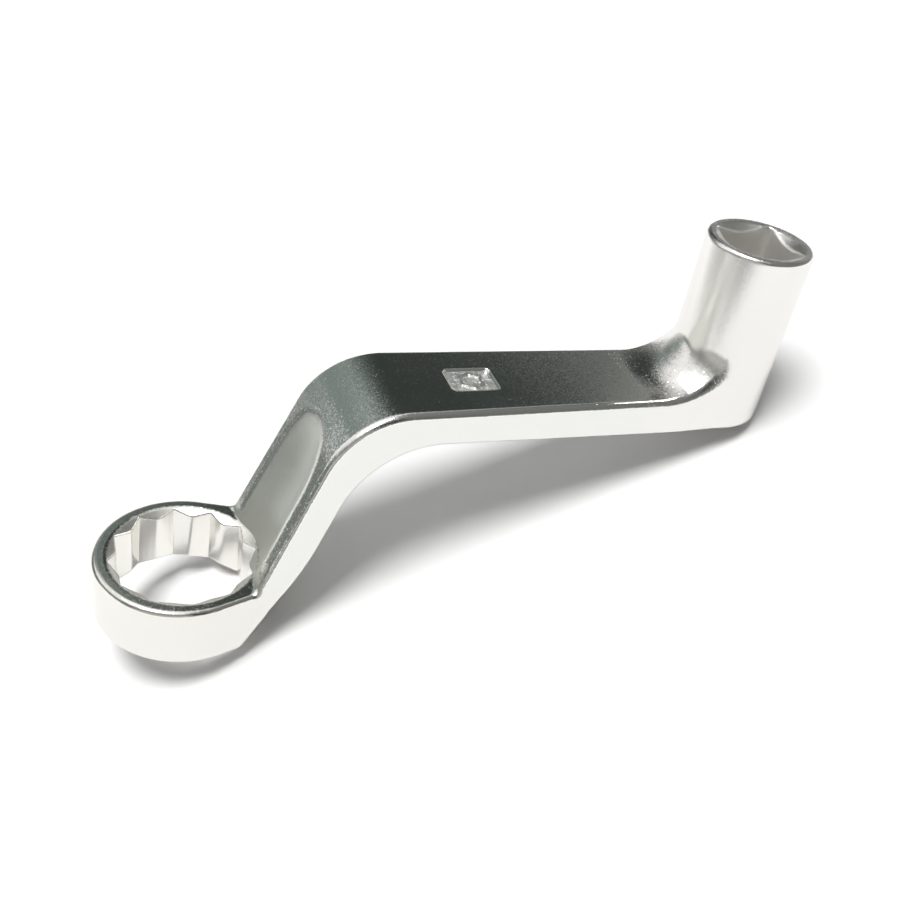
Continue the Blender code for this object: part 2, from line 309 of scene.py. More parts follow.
# samples the field finely only in blocks that the surface may cross
def sampleField(step):
    block = grid["block"]
    low = np.array(grid["low"])
    counts = np.ceil((np.array(grid["high"]) - low) / (step * block)).astype(int)
    middles = [low[a] + step * block * (np.arange(counts[a]) + 0.5) for a in range(3)]
    coarse = toolField(*np.meshgrid(*middles, indexing="ij"))
    near = np.abs(coarse) < step * block * grid["nearShare"]
    values = np.where(coarse < 0, -grid["far"], grid["far"]).astype(np.float32)
    for axis in range(3):
        near = near.repeat(block, axis)
        values = values.repeat(block, axis)
    wanted = near.copy()
    for axis in range(3):
        ahead = [slice(None)] * 3
        behind = [slice(None)] * 3
        ahead[axis] = slice(1, None)
        behind[axis] = slice(None, -1)
        wanted[tuple(ahead)] |= wanted[tuple(behind)].copy()
    where = np.argwhere(wanted)
    values[wanted] = fieldAt(low + step * where)
    return low, values


# where the grid's lines along one axis meet the surface
def crossings(low, step, values, axis):
    head = [slice(None)] * 3
    tail = [slice(None)] * 3
    head[axis] = slice(None, -1)
    tail[axis] = slice(1, None)
    first, second = values[tuple(head)], values[tuple(tail)]
    where = np.argwhere((first < 0) != (second < 0))
    f0 = first[tuple(where.T)].astype(float)
    f1 = second[tuple(where.T)].astype(float)
    t0, t1 = np.zeros(len(where)), np.ones(len(where))
    starts = low + step * where
    for turn in range(grid["searchTurns"]):
        t = t0 + (t1 - t0) * f0 / (f0 - f1)
        points = starts.copy()
        points[:, axis] += step * t
        f = fieldAt(points)
        same = (f < 0) == (f0 < 0)
        t0, f0 = np.where(same, t, t0), np.where(same, f, f0)
        t1, f1 = np.where(same, t1, t), np.where(same, f1, f)
    inside = values[tuple(where.T)] < 0
    return where, points, inside


# one point per cell that the surface crosses, placed where its planes meet, and one face per crossing
def contour(step):
    low, values = sampleField(step)
    shape = np.array(values.shape)
    keyStep = np.array((shape[1] * shape[2], shape[2], 1))
    cells, points, normals, quads = [], [], [], []
    for axis in range(3):
        where, spots, inside = crossings(low, step, values, axis)
        slopes = fieldSlope(spots, grid["slopeReach"])
        slopes /= np.linalg.norm(slopes, axis=1, keepdims=True)
        one, two = keyStep[(axis + 1) % 3], keyStep[(axis + 2) % 3]
        key = where @ keyStep
        corners = np.stack((key - one - two, key - two, key, key - one), 1)
        corners[~inside] = corners[~inside][:, ::-1]
        quads.append(corners)
        for k in range(4):
            cells.append(corners[:, k])
            points.append(spots)
            normals.append(slopes)
    cells, points, normals = np.concatenate(cells), np.concatenate(points), np.concatenate(normals)
    used, index = np.unique(cells, return_inverse=True)
    total = np.bincount(index).astype(float)
    middle = np.stack([np.bincount(index, points[:, a]) / total for a in range(3)], 1)
    pull = np.einsum("ij,ij->i", normals, points - middle[index])
    right = np.stack([np.bincount(index, normals[:, a] * pull) for a in range(3)], 1)
    left = np.empty((len(used), 3, 3))
    for a in range(3):
        for b in range(3):
            left[:, a, b] = np.bincount(index, normals[:, a] * normals[:, b])
        left[:, a, a] += grid["evenShare"] * total
    move = np.linalg.solve(left, right[:, :, None])[:, :, 0]
    cell = np.stack((used // keyStep[0], used % keyStep[0] // keyStep[1], used % keyStep[1]), 1)
    cellLow = low + step * cell
    over = grid["overhang"]
    spots = np.clip(middle + move, cellLow - over * step, cellLow + (1 + over) * step)
    slopes = fieldSlope(spots, grid["slopeReach"])
    size = np.einsum("ij,ij->i", slopes, slopes)
    most = grid["lastMove"] * step
    steps = np.clip(fieldAt(spots) / np.maximum(size, grid["leastSlope"]), -most, most)
    spots = spots - slopes * steps[:, None]
    faces = np.searchsorted(used, np.concatenate(quads))
    return spots, faces


def meshFrom(name, spots, faces):
    mesh = bpy.data.meshes.new(name)
    mesh.vertices.add(len(spots))
    mesh.vertices.foreach_set("co", (spots * mm).astype(np.float32).ravel())
    mesh.loops.add(faces.size)
    mesh.loops.foreach_set("vertex_index", faces.astype(np.int32).ravel())
    mesh.polygons.add(len(faces))
    mesh.polygons.foreach_set("loop_start", np.arange(0, faces.size, 4, dtype=np.int32))
    mesh.update(calc_edges=True)
    mesh.validate()
    return mesh


# where each finish starts and how softly it fades, millimetres
zoneSizes = {
    "stampIn": 0.3, "stampTop": 0.04, "stampFade": 0.2, "stampLow": 45.0,
    "holeSide": 0.5, "holeSideFade": 0.4, "holeTop": 0.3, "holeTopFade": 0.5, "holeLow": 60.0,
    "scoopOut": 0.45, "scoopFade": 0.5, "rampLow": 0.1, "rampHigh": 1.0,
    "faceUnder": 0.5, "darkFootTop": 16.5, "darkFootFade": 4.0,
    "boreOut": 0.05, "boreFade": 0.2, "boreHigh": 0.5,
    "leadOff": 0.2, "leadFade": 0.12, "leadIn": 0.05, "leadHigh": 0.1, "ringLeadShare": 0.45,
    "bossLeadFade": 0.15, "bossLeadDeep": 1.6, "bossLeadShare": 0.35,
}


# how far each point lies in the stamped pad, the drive hole, the scoop and the ring's bore
def paintZones(x, y, z):
    s = zoneSizes
    pad = roundBox(x - padSizes["place"], y, padSizes["length"], padSizes["width"], padSizes["corner"])
    stamp = ease(-pad / s["stampIn"]) * ease((shankSizes["rise"] - s["stampTop"] - z) / s["stampFade"])
    stamp *= z > s["stampLow"]
    aside = np.maximum(np.abs(x - bossSizes["reach"]), np.abs(y)) - bossSizes["square"] / 2
    hollow = ease((s["holeSide"] - aside) / s["holeSideFade"])
    hollow *= ease((bossSizes["top"] - s["holeTop"] - z) / s["holeTopFade"])
    hollow *= z > s["holeLow"]
    onRamp = (x < topCentre[0]) & (z > ringSizes["height"] + s["rampLow"])
    onRamp &= z < shankSizes["rise"] + s["rampHigh"]
    scoop = ease((s["scoopOut"] - scoopField(x, y, z)) / s["scoopFade"]) * onRamp
    # the scoop's darker, duller tone is also given to the foot of the ramp, beside the ring's rim
    onFace = dotAway(x, z, rampFoot, rampOut) > -s["faceUnder"]
    onFace &= np.abs(y) < halfWidth(x) - shankSizes["edgeTop"]
    scoop = np.maximum(scoop, ease((s["darkFootTop"] - z) / s["darkFootFade"]) * onRamp * onFace)
    reach = np.hypot(x, y)
    bore = ease((ringPoint + s["boreOut"] - reach) / s["boreFade"])
    bore *= z < ringSizes["height"] + s["boreHigh"]
    # both mouths are turned on a lathe and stay less dull than the drive hole
    lean = math.radians(ringSizes["mouthAngle"])
    fromEnd = np.minimum(np.abs(z), np.abs(z - ringSizes["height"]))
    fromCone = np.abs((reach - ringMouth) * math.cos(lean) + fromEnd * math.sin(lean))
    ringLead = ease((s["leadOff"] - fromCone) / s["leadFade"])
    ringLead *= (reach < ringMouth - s["leadIn"]) & (z < ringSizes["height"] + s["leadHigh"])
    fromBoss = np.hypot(x - bossSizes["reach"], y)
    bossLead = ease((bossMouth - fromBoss) / s["bossLeadFade"]) * (z > bossSizes["top"] - s["bossLeadDeep"])
    leads = np.maximum(s["ringLeadShare"] * ringLead, s["bossLeadShare"] * bossLead)
    hollow = np.maximum(hollow, leads)
    return np.stack((stamp, hollow, scoop, bore * (1 - ringLead)), 1).astype(np.float32)


# keeps what lies on the side that each plane faces and closes the cut
def cutPiece(name, whole, planes):
    form = bmesh.new()
    form.from_mesh(whole)
    for place, way in planes:
        everything = form.verts[:] + form.edges[:] + form.faces[:]
        bmesh.ops.bisect_plane(
            form, geom=everything, dist=1e-7, plane_co=place, plane_no=way, clear_inner=True)
        rim = [edge for edge in form.edges if edge.is_boundary]
        caps = bmesh.ops.holes_fill(form, edges=rim, sides=0)["faces"]
        bmesh.ops.triangulate(form, faces=caps)
    mesh = bpy.data.meshes.new(name)
    form.to_mesh(mesh)
    form.free()
    spots = np.empty(len(mesh.vertices) * 3, np.float32)
    mesh.vertices.foreach_get("co", spots)
    places = spots.reshape(-1, 3).astype(float) / mm
    slopes = fieldSlope(places, grid["normalReach"])
    slopes /= np.linalg.norm(slopes, axis=1, keepdims=True)
    painted = paintZones(*places.T)
    zones = mesh.attributes.new("zones", "FLOAT_COLOR", "POINT")
    zones.data.foreach_set("color", painted.ravel())
    # buffing leaves the rails beside the scoop slightly crowned
    facing = slopes[:, 0] * rampOut[0] + slopes[:, 2] * rampOut[1]
    rails = ease((facing - scoopSizes["railFrom"]) / scoopSizes["railFade"]) * (1 - painted[:, 2])
    slopes += (scoopSizes["crown"] * rails)[:, None] * np.array((rampWay[0], 0, rampWay[1]))
    slopes /= np.linalg.norm(slopes, axis=1, keepdims=True)
    mesh.transform(liePose)
    mesh.polygons.foreach_set("use_smooth", np.ones(len(mesh.polygons), bool))
    turn = np.array(liePose.to_3x3())
    mesh.normals_split_custom_set_from_vertices((slopes @ turn.T).tolist())
    piece = bpy.data.objects.new(name, mesh)
    bpy.context.scene.collection.objects.link(piece)
    return piece


step = grid["step"]
spots, faces = contour(step)
wholeMesh = meshFrom("wholeTool", spots, faces)
print("field meshed:", len(spots), "points,", len(faces), "faces")

# the ring piece takes the roots of the ramp, up to just above its rim
ringCut = Vector((0, 0, ringSizes["height"] + ringSizes["cutAbove"])) * mm
bossCut = Vector((seamPlace, 0, 0)) * mm
upward = Vector((0, 0, 1))
onward = Vector((1, 0, 0))
pieces = {
    "box_ring": cutPiece("boxRing", wholeMesh, [(ringCut, -upward)]),
    "cranked_shank": cutPiece("crankedShank", wholeMesh, [(ringCut, upward), (bossCut, -onward)]),
    "drive_boss": cutPiece("driveBoss", wholeMesh, [(bossCut, onward)]),
}
bpy.data.meshes.remove(wholeMesh)
for piece in pieces.values():
    print("piece", piece.name, len(piece.data.polygons), "faces")


def addNode(tree, kind, **settings):
    node = tree.nodes.new(kind)
    for name, value in settings.items():
        setattr(node, name, value)
    return node


def feed(tree, socket, value):
    if isinstance(value, (int, float, tuple)):
        socket.default_value = value
    else:
        tree.links.new(value, socket)


def mathNode(tree, operation, first, second):
    node = addNode(tree, "ShaderNodeMath", operation=operation)
    feed(tree, node.inputs[0], first)
    feed(tree, node.inputs[1], second)
    return node.outputs[0]


def vectorNode(tree, operation, *values):
    node = addNode(tree, "ShaderNodeVectorMath", operation=operation)
    for socket, value in zip(node.inputs, values):
        feed(tree, socket, value)
    return node.outputs[0]


def mixed(tree, factor, first, second):
    node = addNode(tree, "ShaderNodeMix", data_type="FLOAT")
    for place, value in ((0, factor), (2, first), (3, second)):
        feed(tree, node.inputs[place], value)
    return node.outputs[0]


# a mix node's colour sockets come after those for numbers and vectors
def mixedColour(tree, factor, first, second):
    node = addNode(tree, "ShaderNodeMix", data_type="RGBA")
    for place, value in ((0, factor), (6, first), (7, second)):
        feed(tree, node.inputs[place], value)
    return node.outputs[2]


def rangeNode(tree, source, low, high, first=0.0, last=1.0):
    node = addNode(tree, "ShaderNodeMapRange", interpolation_type="SMOOTHSTEP")
    for label, value in (("From Min", low), ("From Max", high), ("To Min", first), ("To Max", last)):
        node.inputs[label].default_value = value
    tree.links.new(source, node.inputs["Value"])
    return node.outputs["Result"]


def noiseNode(tree, place, scale, detail=2.0):
    node = addNode(tree, "ShaderNodeTexNoise", noise_dimensions="3D")
    node.inputs["Scale"].default_value = scale
    node.inputs["Detail"].default_value = detail
    tree.links.new(place, node.inputs["Vector"])
    return node.outputs["Fac"]


# a point's place on the tool itself, from where it lies in the scene
def toolPlace(tree):
    place = addNode(tree, "ShaderNodeTexCoord").outputs["Object"]
    moved = vectorNode(tree, "SUBTRACT", place, (lie["x"] * mm, 0.0, lie["z"] * mm))
    turn = addNode(tree, "ShaderNodeVectorRotate", rotation_type="Y_AXIS")
    turn.inputs["Angle"].default_value = -math.radians(lie["tip"])
    tree.links.new(moved, turn.inputs["Vector"])
    return turn.outputs["Vector"]


def groupWith(name, inputs, outputs):
    group = bpy.data.node_groups.new(name, "ShaderNodeTree")
    for label in inputs:
        group.interface.new_socket(label, in_out="INPUT", socket_type="NodeSocketFloat")
    for label, kind in outputs:
        group.interface.new_socket(label, in_out="OUTPUT", socket_type=kind)
    return group, addNode(group, "NodeGroupInput"), addNode(group, "NodeGroupOutput")


# the tool's sides and round walls are buffed smoother than what faces up
grainFacing = {"low": 0.05, "high": 0.4, "least": 0.25}


# blasted grain under the plating: every small cell leans its own way, and a few lean far
def makeGrainGroup():
    group, start, end = groupWith(
        "blastedGrain", ("Scale", "Lean", "Sparkle", "Sparkle Share"),
        (("Normal", "NodeSocketVector"), ("Pick", "NodeSocketFloat")))
    cell = addNode(group, "ShaderNodeTexVoronoi", voronoi_dimensions="3D", feature="F1")
    group.links.new(toolPlace(group), cell.inputs["Vector"])
    group.links.new(start.outputs["Scale"], cell.inputs["Scale"])
    way = vectorNode(group, "SUBTRACT", cell.outputs["Color"], (0.5, 0.5, 0.5))
    pick = addNode(group, "ShaderNodeTexWhiteNoise", noise_dimensions="3D")
    group.links.new(cell.outputs["Position"], pick.inputs["Vector"])
    rare = mathNode(group, "LESS_THAN", pick.outputs["Value"], start.outputs["Sparkle Share"])
    plain = addNode(group, "ShaderNodeNewGeometry").outputs["Normal"]
    turn = addNode(group, "ShaderNodeVectorRotate", rotation_type="Y_AXIS")
    turn.inputs["Angle"].default_value = -math.radians(lie["tip"])
    group.links.new(plain, turn.inputs["Vector"])
    upward = addNode(group, "ShaderNodeSeparateXYZ")
    group.links.new(turn.outputs["Vector"], upward.inputs[0])
    facing = rangeNode(
        group, upward.outputs["Z"], grainFacing["low"], grainFacing["high"], grainFacing["least"])
    sparkle = mathNode(group, "MULTIPLY", rare, start.outputs["Sparkle"])
    amount = mathNode(group, "ADD", start.outputs["Lean"], sparkle)
    amount = mathNode(group, "MULTIPLY", amount, facing)
    scale = addNode(group, "ShaderNodeVectorMath", operation="SCALE")
    group.links.new(way, scale.inputs[0])
    group.links.new(amount, scale.inputs["Scale"])
    leaned = vectorNode(group, "NORMALIZE", vectorNode(group, "ADD", plain, scale.outputs[0]))
    group.links.new(leaned, end.inputs["Normal"])
    group.links.new(pick.outputs["Value"], end.inputs["Pick"])
    return group


# slow waves left by buffing, cloudy patches in the gloss, and a few small knocks
buffing = {
    "waveScale": 150.0, "waveDetail": 1.5, "cloudScale": 70.0, "cloudDetail": 4.0,
    "cloudLow": 0.3, "cloudHigh": 0.7,
    "knockScale": 190.0, "knockShare": 0.05, "knockIn": 0.03, "knockOut": 0.07, "knockDeep": -0.6,
}


def makeBuffGroup():
    s = buffing
    group, start, end = groupWith(
        "buffedMetal", ("Low", "High"),
        (("Height", "NodeSocketFloat"), ("Roughness", "NodeSocketFloat"), ("Cloud", "NodeSocketFloat")))
    place = toolPlace(group)
    wave = noiseNode(group, place, s["waveScale"], s["waveDetail"])
    cloud = noiseNode(group, place, s["cloudScale"], s["cloudDetail"])
    spread = addNode(group, "ShaderNodeMapRange")
    spread.inputs["From Min"].default_value = s["cloudLow"]
    spread.inputs["From Max"].default_value = s["cloudHigh"]
    group.links.new(cloud, spread.inputs["Value"])
    group.links.new(start.outputs["Low"], spread.inputs["To Min"])
    group.links.new(start.outputs["High"], spread.inputs["To Max"])
    knock = addNode(group, "ShaderNodeTexVoronoi", voronoi_dimensions="3D", feature="F1")
    knock.inputs["Scale"].default_value = s["knockScale"]
    group.links.new(place, knock.inputs["Vector"])
    pick = addNode(group, "ShaderNodeTexWhiteNoise", noise_dimensions="3D")
    group.links.new(knock.outputs["Position"], pick.inputs["Vector"])
    rare = mathNode(group, "LESS_THAN", pick.outputs["Value"], s["knockShare"])
    pit = rangeNode(group, knock.outputs["Distance"], s["knockIn"], s["knockOut"], s["knockDeep"], 0.0)
    height = mathNode(group, "ADD", wave, mathNode(group, "MULTIPLY", pit, rare))
    group.links.new(height, end.inputs["Height"])
    group.links.new(spread.outputs["Result"], end.inputs["Roughness"])
    group.links.new(cloud, end.inputs["Cloud"])
    return group


grainGroup = makeGrainGroup()
buffGroup = makeBuffGroup()

ringLook = {
    "pale": (0.83, 0.815, 0.77), "deep": (0.78, 0.77, 0.735), "low": 0.1, "high": 0.15,
    "lean": 0.08, "sparkle": 0.2, "share": 0.08, "grainScale": 6500.0,
}
shankLook = {
    "pale": (0.82, 0.82, 0.785), "deep": (0.77, 0.78, 0.75), "low": 0.11, "high": 0.16,
    "lean": 0.13, "barLean": 0.06, "sparkle": 0.12, "share": 0.08, "grainScale": 6000.0,
}
bossLook = {
    "pale": (0.84, 0.825, 0.795), "deep": (0.79, 0.78, 0.755), "low": 0.13, "high": 0.18,
    "lean": 0.1, "sparkle": 0.3, "share": 0.1, "grainScale": 6500.0, "wallRough": 0.085,
}
zoneLook = {
    "stampRough": 0.44, "hollowRough": 0.5, "scoopRough": 0.43, "boreRough": 0.16,
    "scoopTone": (0.49, 0.505, 0.47),
}
# what all three pieces share, places in metres on the tool
chromeLook = {
    "bendEnd": 0.031, "barStart": 0.042, "wallFoot": 0.0505, "wallStart": 0.057, "pickShare": 0.6,
    "broachAcross": 2600.0, "broachAlong": 60.0, "dentScale": 1100.0, "dentRise": 40.0,
    "fine": 0.35, "fineDepth": 0.00006, "wave": 0.12, "waveDepth": 0.0002,
}


def chrome(name, look):
    s = chromeLook
    material = bpy.data.materials.new(name)
    material.use_nodes = True
    tree = material.node_tree
    shader = tree.nodes["Principled BSDF"]
    shader.inputs["Metallic"].default_value = 1.0
    zones = addNode(tree, "ShaderNodeAttribute", attribute_name="zones")
    part = addNode(tree, "ShaderNodeSeparateXYZ")
    tree.links.new(zones.outputs["Vector"], part.inputs[0])
    stamp, hollow, scoop = part.outputs
    bore = zones.outputs["Alpha"]
    place = toolPlace(tree)
    along = addNode(tree, "ShaderNodeSeparateXYZ")
    tree.links.new(place, along.inputs[0])
    grain = addNode(tree, "ShaderNodeGroup", node_tree=grainGroup)
    inputs = (("Scale", "grainScale"), ("Lean", "lean"), ("Sparkle", "sparkle"), ("Sparkle Share", "share"))
    for label, key in inputs:
        grain.inputs[label].default_value = look[key]
    # the bend keeps more of its grain than the flat bar does
    if "barLean" in look:
        lean = rangeNode(
            tree, along.outputs["X"], s["bendEnd"], s["barStart"], look["lean"], look["barLean"])
        tree.links.new(lean, grain.inputs["Lean"])
    buff = addNode(tree, "ShaderNodeGroup", node_tree=buffGroup)
    buff.inputs["Low"].default_value = look["low"]
    buff.inputs["High"].default_value = look["high"]
    rough = buff.outputs["Roughness"]
    # the boss's wall is duller than its foot
    if "wallRough" in look:
        duller = rangeNode(tree, along.outputs["Z"], s["wallFoot"], s["wallStart"], 0.0, look["wallRough"])
        rough = mathNode(tree, "ADD", rough, duller)
    masks = ((stamp, "stampRough"), (hollow, "hollowRough"), (scoop, "scoopRough"), (bore, "boreRough"))
    for mask, key in masks:
        rough = mixed(tree, mask, rough, zoneLook[key])
    tree.links.new(rough, shader.inputs["Roughness"])
    cloudy = mixed(tree, s["pickShare"], buff.outputs["Cloud"], grain.outputs["Pick"])
    tone = mixedColour(tree, cloudy, (*look["pale"], 1), (*look["deep"], 1))
    # the scoop and the foot of the ramp get a darker, greener base colour
    tone = mixedColour(tree, scoop, tone, (*zoneLook["scoopTone"], 1))
    tree.links.new(tone, shader.inputs["Base Color"])
    # broach lines run along both holes, and the stamped floor is uneven
    stretch = vectorNode(
        tree, "MULTIPLY", place, (s["broachAcross"], s["broachAcross"], s["broachAlong"]))
    lines = noiseNode(tree, stretch, 1.0)
    dents = noiseNode(tree, place, s["dentScale"])
    cut = mathNode(tree, "MULTIPLY", lines, mathNode(tree, "MAXIMUM", hollow, bore))
    uneven = mathNode(tree, "MULTIPLY", mathNode(tree, "MULTIPLY", dents, stamp), s["dentRise"])
    fine = addNode(tree, "ShaderNodeBump")
    fine.inputs["Strength"].default_value = s["fine"]
    fine.inputs["Distance"].default_value = s["fineDepth"]
    tree.links.new(mathNode(tree, "ADD", cut, uneven), fine.inputs["Height"])
    tree.links.new(grain.outputs["Normal"], fine.inputs["Normal"])
    bump = addNode(tree, "ShaderNodeBump")
    bump.inputs["Strength"].default_value = s["wave"]
    bump.inputs["Distance"].default_value = s["waveDepth"]
    tree.links.new(buff.outputs["Height"], bump.inputs["Height"])
    tree.links.new(fine.outputs["Normal"], bump.inputs["Normal"])
    tree.links.new(bump.outputs["Normal"], shader.inputs["Normal"])
    return material


looks = {
    "box_ring": chrome("ringChrome", ringLook),
    "cranked_shank": chrome("shankChrome", shankLook),
    "drive_boss": chrome("bossChrome", bossLook),
}
for node, piece in pieces.items():
    piece.data.materials.append(looks[node])
    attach(piece, "root")
    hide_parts(node)
print("chrome laid on")

camera = {
    "lens": 43.307, "sensor": 36.0, "near": 0.005, "place": (-0.024055, -0.159057, 0.156558),
    "ahead": (0.105556, 0.748458, -0.654728), "right": (0.925577, -0.314655, -0.210477),
}


def placeCamera():
    data = bpy.data.cameras.new("photoCamera")
    data.lens = camera["lens"]
    data.sensor_width = camera["sensor"]
    data.clip_start = camera["near"]
    ahead = Vector(camera["ahead"]).normalized()
    right = Vector(camera["right"])
    right = (right - ahead * right.dot(ahead)).normalized()
    up = right.cross(ahead)
    turn = Matrix((right, up, -ahead)).transposed().to_4x4()
    view = bpy.data.objects.new("photoCamera", data)
    view.matrix_world = Matrix.Translation(camera["place"]) @ turn
    bpy.context.scene.collection.objects.link(view)
    bpy.context.scene.camera = view


placeCamera()

studio = {
    "floorHalf": 8.0, "floorDrop": 0.0001, "floorColour": (0.8, 0.8, 0.8),
    "glowTo": 0.95, "glowFrom": 0.08, "glowEnd": 0.45,
    "keyHeight": 2.4, "keyPlace": (0.0, -0.4), "keySize": 1.12, "keyPower": 64.5,
    "fill": (0.36, 0.36, 0.355), "fillWay": (-0.6, 0.8, 0.0), "fillLean": 0.6,
}
# a ring of cards round the tool that only the metal sees, colours by height over their radius
tent = {"radius": 0.3, "top": 70.0, "turns": 72, "rows": 20}
plainBands = (
    (0.0, (0.8, 0.79, 0.765)), (0.14, (0.76, 0.75, 0.725)), (0.24, (0.62, 0.62, 0.6)),
    (0.36, (0.4, 0.41, 0.395)), (0.45, (0.25, 0.28, 0.265)), (0.52, (0.2, 0.245, 0.23)),
    (0.69, (0.24, 0.28, 0.265)), (0.79, (0.55, 0.56, 0.55)), (0.87, (1.0, 1.0, 1.0)),
)
# sectors laid over them in this order: their middle in degrees from the back, the cosines where they
# start and are full, how far their edges lean with height, and their own colours
sectors = {
    "left": {"way": -112.0, "from": 0.22, "full": 0.34, "lift": -0.8, "bands": (
        (0.0, (0.74, 0.73, 0.71)), (0.18, (0.7, 0.69, 0.67)), (0.23, (0.44, 0.44, 0.42)),
        (0.28, (0.19, 0.2, 0.19)), (0.5, (0.17, 0.18, 0.17)), (0.66, (0.3, 0.31, 0.3)),
        (0.78, (0.7, 0.7, 0.69)), (0.87, (1.0, 1.0, 1.0)),
    )},
    "dark": {"way": 95.0, "from": -0.25, "full": 0.3, "bands": (
        (0.0, (0.36, 0.36, 0.35)), (0.1, (0.19, 0.19, 0.18)), (0.29, (0.16, 0.17, 0.16)),
        (0.33, (0.08, 0.087, 0.085)), (0.39, (0.038, 0.045, 0.043)), (0.7, (0.036, 0.044, 0.042)),
        (0.82, (0.5, 0.51, 0.5)), (0.88, (0.95, 0.95, 0.95)),
    )},
    "right": {"way": 110.0, "from": 0.6, "full": 0.85, "bands": (
        (0.0, (0.36, 0.36, 0.35)), (0.1, (0.19, 0.19, 0.18)), (0.3, (0.17, 0.175, 0.17)),
        (0.7, (0.19, 0.195, 0.19)), (0.93, (0.28, 0.285, 0.28)),
    )},
    "window": {"way": -58.0, "from": 0.9, "full": 0.96, "bands": (
        (0.0, (0.74, 0.73, 0.71)), (0.15, (0.7, 0.69, 0.67)), (0.2, (0.4, 0.4, 0.38)),
        (0.25, (0.16, 0.18, 0.165)), (0.44, (0.18, 0.2, 0.19)), (0.52, (0.45, 0.46, 0.45)),
        (0.575, (1.0, 1.0, 1.0)),
    )},
    "pane": {"way": -88.0, "from": 0.97, "full": 0.99, "bands": (
        (0.0, (1.0, 1.0, 0.98)), (0.23, (1.0, 1.0, 0.98)), (0.29, (0.42, 0.42, 0.4)),
        (0.33, (0.19, 0.2, 0.19)), (0.5, (0.17, 0.18, 0.17)), (0.6, (0.4, 0.41, 0.4)),
        (0.7, (0.85, 0.85, 0.84)), (0.87, (1.0, 1.0, 1.0)),
    )},
    "front": {"way": -150.0, "from": 0.82, "full": 0.89, "bands": (
        (0.0, (0.26, 0.257, 0.25)), (0.13, (0.3, 0.297, 0.29)), (0.24, (0.62, 0.61, 0.59)),
        (0.37, (0.5, 0.5, 0.48)), (0.45, (0.4, 0.4, 0.38)), (0.57, (0.22, 0.23, 0.22)),
        (0.66, (0.3, 0.31, 0.3)), (0.78, (0.7, 0.7, 0.69)), (0.87, (1.0, 1.0, 1.0)),
    )},
    "wedge": {"way": 55.0, "from": 0.9877, "full": 0.9976, "bands": (
        (0.0, (0.36, 0.36, 0.35)), (0.1, (0.25, 0.25, 0.24)), (0.3, (0.25, 0.255, 0.245)),
        (0.48, (0.3, 0.305, 0.295)), (0.66, (0.42, 0.425, 0.415)), (0.78, (0.65, 0.65, 0.64)),
        (0.87, (1.0, 1.0, 1.0)),
    )},
}


# what the camera and the metal see, before any diffuse bounce
def seenRays(tree):
    path = addNode(tree, "ShaderNodeLightPath")
    seen = mathNode(tree, "MAXIMUM", path.outputs["Is Camera Ray"], path.outputs["Is Glossy Ray"])
    seen = mathNode(tree, "MAXIMUM", seen, path.outputs["Is Transmission Ray"])
    direct = mathNode(tree, "LESS_THAN", path.outputs["Diffuse Depth"], 0.5)
    return mathNode(tree, "MULTIPLY", seen, direct)


def makeFloor():
    half = studio["floorHalf"]
    mesh = bpy.data.meshes.new("studioFloor")
    corners = [(-half, -half, 0), (half, -half, 0), (half, half, 0), (-half, half, 0)]
    mesh.from_pydata(corners, [], [(0, 1, 2, 3)])
    floor = bpy.data.objects.new("studioFloor", mesh)
    floor.location = (0, 0, -studio["floorDrop"])
    bpy.context.scene.collection.objects.link(floor)
    material = bpy.data.materials.new("paleFloor")
    material.use_nodes = True
    tree = material.node_tree
    shader = tree.nodes["Principled BSDF"]
    shader.inputs["Base Color"].default_value = (*studio["floorColour"], 1)
    shader.inputs["Roughness"].default_value = 1.0
    shader.inputs["Specular IOR Level"].default_value = 0.0
    place = addNode(tree, "ShaderNodeTexCoord").outputs["Object"]
    away = addNode(tree, "ShaderNodeVectorMath", operation="LENGTH")
    tree.links.new(place, away.inputs[0])
    glow = rangeNode(
        tree, away.outputs["Value"], studio["glowFrom"], studio["glowEnd"], 0.0, studio["glowTo"])
    light = addNode(tree, "ShaderNodeEmission")
    light.inputs["Color"].default_value = (1, 1, 1, 1)
    tree.links.new(mathNode(tree, "MULTIPLY", glow, seenRays(tree)), light.inputs["Strength"])
    both = addNode(tree, "ShaderNodeAddShader")
    tree.links.new(shader.outputs[0], both.inputs[0])
    tree.links.new(light.outputs[0], both.inputs[1])
    tree.links.new(both.outputs[0], tree.nodes["Material Output"].inputs["Surface"])
    mesh.materials.append(material)


def bandsNode(tree, bands, height):
    node = addNode(tree, "ShaderNodeValToRGB")
    ramp = node.color_ramp
    while len(ramp.elements) < len(bands):
        ramp.elements.new(0.5)
    for element, (place, colour) in zip(ramp.elements, bands):
        element.position = place
        element.color = (*colour, 1)
    tree.links.new(height, node.inputs["Fac"])
    return node.outputs["Color"]


def towards(tree, flat, height, sector):
    angle = math.radians(sector["way"])
    dot = addNode(tree, "ShaderNodeVectorMath", operation="DOT_PRODUCT")
    dot.inputs[1].default_value = (math.sin(angle), math.cos(angle), 0)
    tree.links.new(flat, dot.inputs[0])
    near = dot.outputs["Value"]
    if "lift" in sector:
        near = mathNode(tree, "ADD", near, mathNode(tree, "MULTIPLY", height, sector["lift"]))
    return rangeNode(tree, near, sector["from"], sector["full"])


# a card that only reflections see, and the nodes that colour it
def cardTree(name, points, quads):
    mesh = bpy.data.meshes.new(name)
    mesh.from_pydata(points, [], quads)
    mesh.polygons.foreach_set("use_smooth", [True] * len(quads))
    card = bpy.data.objects.new(name, mesh)
    bpy.context.scene.collection.objects.link(card)
    card.visible_camera = False
    card.visible_diffuse = False
    card.visible_shadow = False
    material = bpy.data.materials.new(name)
    material.use_nodes = True
    material.node_tree.nodes.remove(material.node_tree.nodes["Principled BSDF"])
    mesh.materials.append(material)
    return material.node_tree


